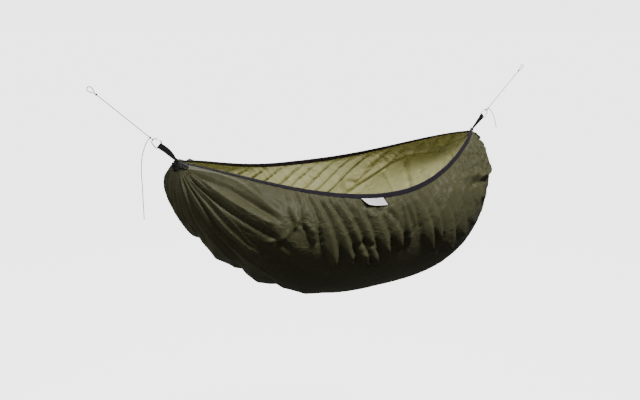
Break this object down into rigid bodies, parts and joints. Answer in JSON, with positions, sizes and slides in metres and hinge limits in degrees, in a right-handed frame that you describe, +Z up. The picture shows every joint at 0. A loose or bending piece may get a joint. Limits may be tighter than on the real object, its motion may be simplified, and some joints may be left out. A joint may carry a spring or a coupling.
{
  "type": "hammock",
  "caption": "Hanging quilted pouch hammock with gathered ends, elastic bound edges, webbing straps, wire-gate hooks and tie cords that end in loops.",
  "frame": {"origin": "where the support bears inside the left anchor loop", "axes": "+X runs along the hammock to the right anchor loop, +Y points to the far side, away from the label, and +Z is up"},
  "size_m": [2.162, 0.856, 0.9687],
  "materials": {
    "shell": "slightly shiny woven nylon, dark olive",
    "casing": "gathered woven nylon, olive",
    "lining": "soft woven nylon, khaki",
    "insulation": "white fibre fill, not seen",
    "binding": "folded ribbed tape, near black",
    "webbing": "flat woven webbing, charcoal",
    "metal": "bright drawn rod",
    "cord": "thin braided cord, black",
    "label": "bare white woven tape"
  },
  "bodies": {
    "anchors": {"left_anchor_loop": "cord", "left_anchor_knot": "cord", "right_anchor_loop": "cord", "right_anchor_knot": "cord"},
    "hammock": {"outer_shell": "shell", "inner_lining": "lining", "insulation_panel_1": "insulation", "insulation_panel_2": "insulation", "insulation_panel_3": "insulation", "insulation_panel_4": "insulation", "insulation_panel_5": "insulation", "near_edge_binding": "binding", "far_edge_binding": "binding", "near_edge_elastic": "cord", "far_edge_elastic": "cord", "care_label": "label", "left_end_casing": "casing", "right_end_casing": "casing", "left_neck_wrap": "cord", "right_neck_wrap": "cord", "left_strap": "webbing", "right_strap": "webbing", "left_hook_body": "metal", "right_hook_body": "metal", "left_hitch_loop": "cord", "right_hitch_loop": "cord", "left_hitch_knot": "cord", "right_hitch_knot": "cord", "left_suspension_cord": "cord", "right_suspension_cord": "cord", "left_cord_tail": "cord", "right_cord_tail": "cord", "left_tail_knot": "cord", "right_tail_knot": "cord"},
    "left_gate": {"left_hook_gate": "metal"},
    "right_gate": {"right_hook_gate": "metal"}
  },
  "joints": [
    {"name": "hammock_swing", "type": "hinge", "parent": "anchors", "child": "hammock", "pos_m": [0.02797, 0, -0.02572], "axis": [1, 0, 0], "range_deg": [-30, 30]},
    {"name": "left_gate_hinge", "type": "hinge", "parent": "hammock", "child": "left_gate", "pos_m": [0.25661, 0, -0.21609], "axis": [0, -1, 0], "range_deg": [0, 28], "stiffness_Nm_per_rad": 0.02},
    {"name": "right_gate_hinge", "type": "hinge", "parent": "hammock", "child": "right_gate", "pos_m": [1.89545, 0, -0.21609], "axis": [0, 1, 0], "range_deg": [0, 28], "stiffness_Nm_per_rad": 0.02}
  ]
}
